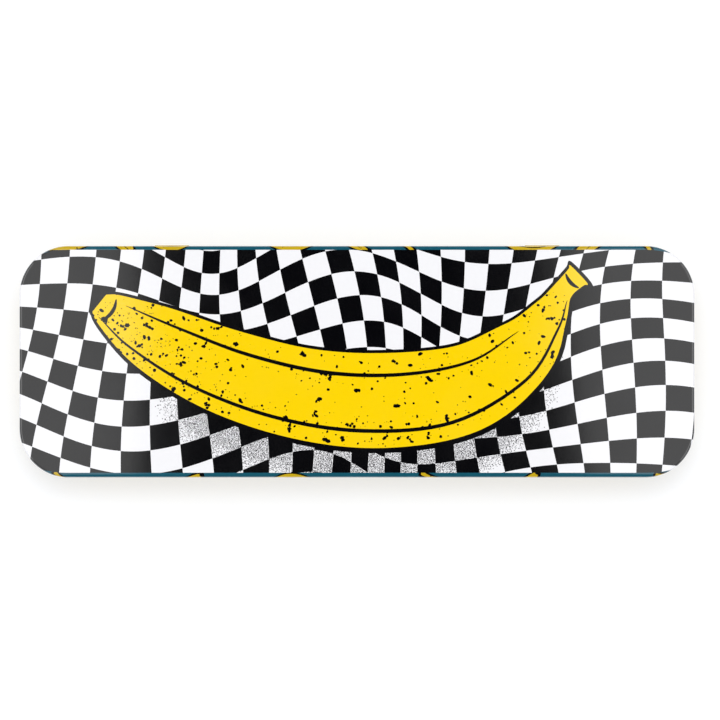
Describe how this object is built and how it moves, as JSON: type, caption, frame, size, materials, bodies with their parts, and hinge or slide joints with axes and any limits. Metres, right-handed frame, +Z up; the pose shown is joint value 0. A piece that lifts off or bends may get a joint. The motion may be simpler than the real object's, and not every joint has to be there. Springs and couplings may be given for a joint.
{
  "type": "hinged tin case",
  "caption": "Long flat tinplate case with rounded corners and a hinged slip-over lid, for pencils and small tools.",
  "frame": {"origin": "on the resting plane, below the middle of the closed lid's outline", "axes": "+X along the case, to the right as the front is faced; +Y towards the hinged back; +Z up"},
  "size_m": [0.2, 0.0689, 0.024],
  "materials": {
    "base_tinplate": "gloss varnish over plain yellow ink outside, bare tinplate inside",
    "lid_tinplate": "gloss varnish over printed artwork outside, bare tinplate inside",
    "pin_wire": "drawn steel wire"
  },
  "bodies": {
    "base": {"base_shell": "base_tinplate"},
    "lid": {"lid_shell": "lid_tinplate", "hinge_pin_left": "pin_wire", "hinge_pin_right": "pin_wire"}
  },
  "joints": [
    {"name": "lid_hinge", "type": "hinge", "parent": "base", "child": "lid", "pos_m": [0, 0.03352, 0.01728], "axis": [-1, 0, 0], "range_deg": [0, 110]}
  ]
}
